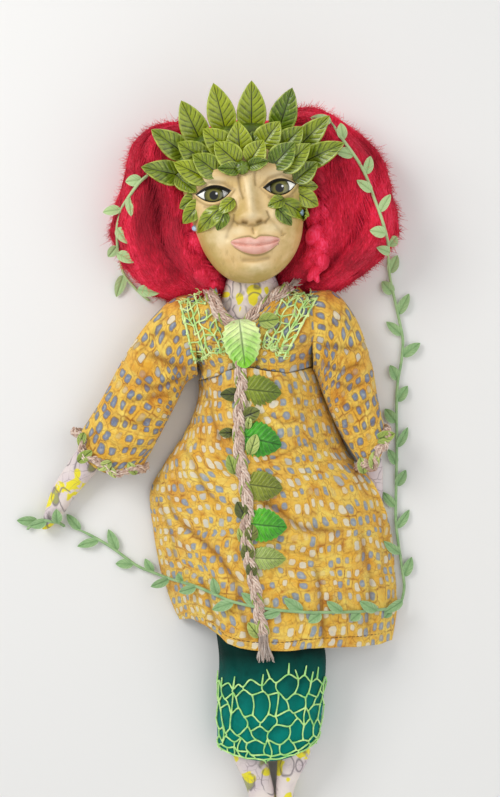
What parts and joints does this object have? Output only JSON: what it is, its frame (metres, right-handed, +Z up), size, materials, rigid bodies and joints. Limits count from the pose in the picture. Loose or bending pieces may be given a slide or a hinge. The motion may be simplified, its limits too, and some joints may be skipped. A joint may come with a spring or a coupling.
{
  "type": "spirit doll",
  "caption": "Cloth art doll lying on its back, with a clay leaf-crowned face, wool hair, jointed arms and legs, a gathered tunic, netted underskirt and leaf vines.",
  "frame": {"origin": "on the floor under the back of the tunic, where the lying doll rests, near its mid length", "axes": "+Z up out of the doll's face and front, +Y toward its head, +X toward the doll's own left hand"},
  "size_m": [0.3221, 0.653, 0.1004],
  "materials": {
    "clay_skin": "painted polymer clay, ochre with olive wash, satin",
    "clay_leaf": "painted polymer clay leaves, olive green with dark wash, satin",
    "eye_glaze": "glossy painted eyes, white with olive iris",
    "bead_glass": "small pale blue glass bead",
    "wool_roving": "dyed crimson wool roving",
    "core_wool": "felted wool stuffing",
    "printed_cotton": "printed cotton in pale lilac, olive and yellow, stuffed",
    "batik_cotton": "batik cotton, mustard with blue grey dashes",
    "teal_cotton": "deep teal cotton",
    "green_net": "light green knotted net",
    "hemp_twine": "braided hemp twine, beige pink",
    "satin_leaf": "pleated satin leaf, green",
    "velvet_vine": "velvet leaf vine, sage green",
    "dowel_wood": "plain beech dowel"
  },
  "bodies": {
    "torso": {"torso": "printed_cotton", "neck_dowel": "dowel_wood", "head_core": "core_wool", "face": "clay_skin", "eye_right": "eye_glaze", "eye_left": "eye_glaze", "bead_right": "bead_glass", "bead_left": "bead_glass", "crown_middle_row": "clay_leaf", "crown_button": "clay_leaf", "cheek_leaves_right_outer": "clay_leaf", "cheek_leaves_right_inner": "clay_leaf", "cheek_leaves_left_outer": "clay_leaf", "cheek_leaves_left_inner": "clay_leaf", "tunic_bodice": "batik_cotton", "tunic_skirt": "batik_cotton", "net_collar_right": "green_net", "net_collar_left": "green_net", "hair_top": "wool_roving", "hair_right": "wool_roving", "hair_left": "wool_roving", "curls_right": "wool_roving", "curls_left": "wool_roving", "neck_twine": "hemp_twine", "front_braid": "hemp_twine", "brooch_leaf": "satin_leaf", "vine_long": "velvet_vine", "vine_short": "velvet_vine", "crown_spike_1": "clay_leaf", "crown_spike_2": "clay_leaf", "crown_spike_3": "clay_leaf", "crown_spike_4": "clay_leaf", "crown_spike_5": "clay_leaf", "crown_spike_6": "clay_leaf", "crown_spike_7": "clay_leaf", "crown_spike_8": "clay_leaf", "crown_front_leaf_1": "clay_leaf", "crown_front_leaf_2": "clay_leaf", "crown_front_leaf_3": "clay_leaf", "crown_front_leaf_4": "clay_leaf", "crown_front_leaf_5": "clay_leaf", "crown_front_leaf_6": "clay_leaf", "crown_front_leaf_7": "clay_leaf", "front_leaf_1": "satin_leaf", "front_leaf_2": "satin_leaf", "front_leaf_3": "satin_leaf", "front_leaf_4": "satin_leaf", "front_leaf_5": "satin_leaf"},
    "arm_right": {"arm_right": "printed_cotton", "sleeve_right": "batik_cotton", "cuff_twine_right": "hemp_twine", "vine_sprig": "velvet_vine"},
    "arm_left": {"arm_left": "printed_cotton", "sleeve_left": "batik_cotton", "cuff_twine_left": "hemp_twine"},
    "leg_right": {"leg_right": "printed_cotton"},
    "leg_left": {"leg_left": "printed_cotton"},
    "lower_skirt": {"underskirt": "teal_cotton", "net_overlay": "green_net", "braid_tassel": "hemp_twine"}
  },
  "joints": [
    {"name": "shoulder_right", "type": "hinge", "parent": "torso", "child": "arm_right", "pos_m": [-0.0435, 0.13602, 0.025], "axis": [-1, 0, 0], "range_deg": [0, 90]},
    {"name": "shoulder_left", "type": "hinge", "parent": "torso", "child": "arm_left", "pos_m": [0.0565, 0.13602, 0.025], "axis": [-1, 0, 0], "range_deg": [0, 90], "deforming": ["tunic_skirt"]},
    {"name": "hip_left", "type": "hinge", "parent": "torso", "child": "leg_left", "pos_m": [0.0238, -0.064, 0.0293], "axis": [-1, 0, 0], "range_deg": [0, 75], "deforming": ["tunic_skirt", "front_braid", "front_leaf_5", "vine_long"]},
    {"name": "hip_right", "type": "hinge", "parent": "torso", "child": "leg_right", "pos_m": [-0.0162, -0.064, 0.0293], "axis": [-1, 0, 0], "range_deg": [0, 75], "deforming": ["tunic_skirt", "front_braid", "front_leaf_5", "vine_long"]},
    {"name": "skirt_fold", "type": "hinge", "parent": "torso", "child": "lower_skirt", "pos_m": [0.0038, -0.064, 0.0293], "axis": [-1, 0, 0], "range_deg": [0, 75], "deforming": ["tunic_skirt", "front_braid", "front_leaf_5", "vine_long"]}
  ],
  "couplings": [
    {"joint": "hip_right", "follows": "hip_left", "ratio": 1},
    {"joint": "skirt_fold", "follows": "hip_left", "ratio": 1}
  ]
}
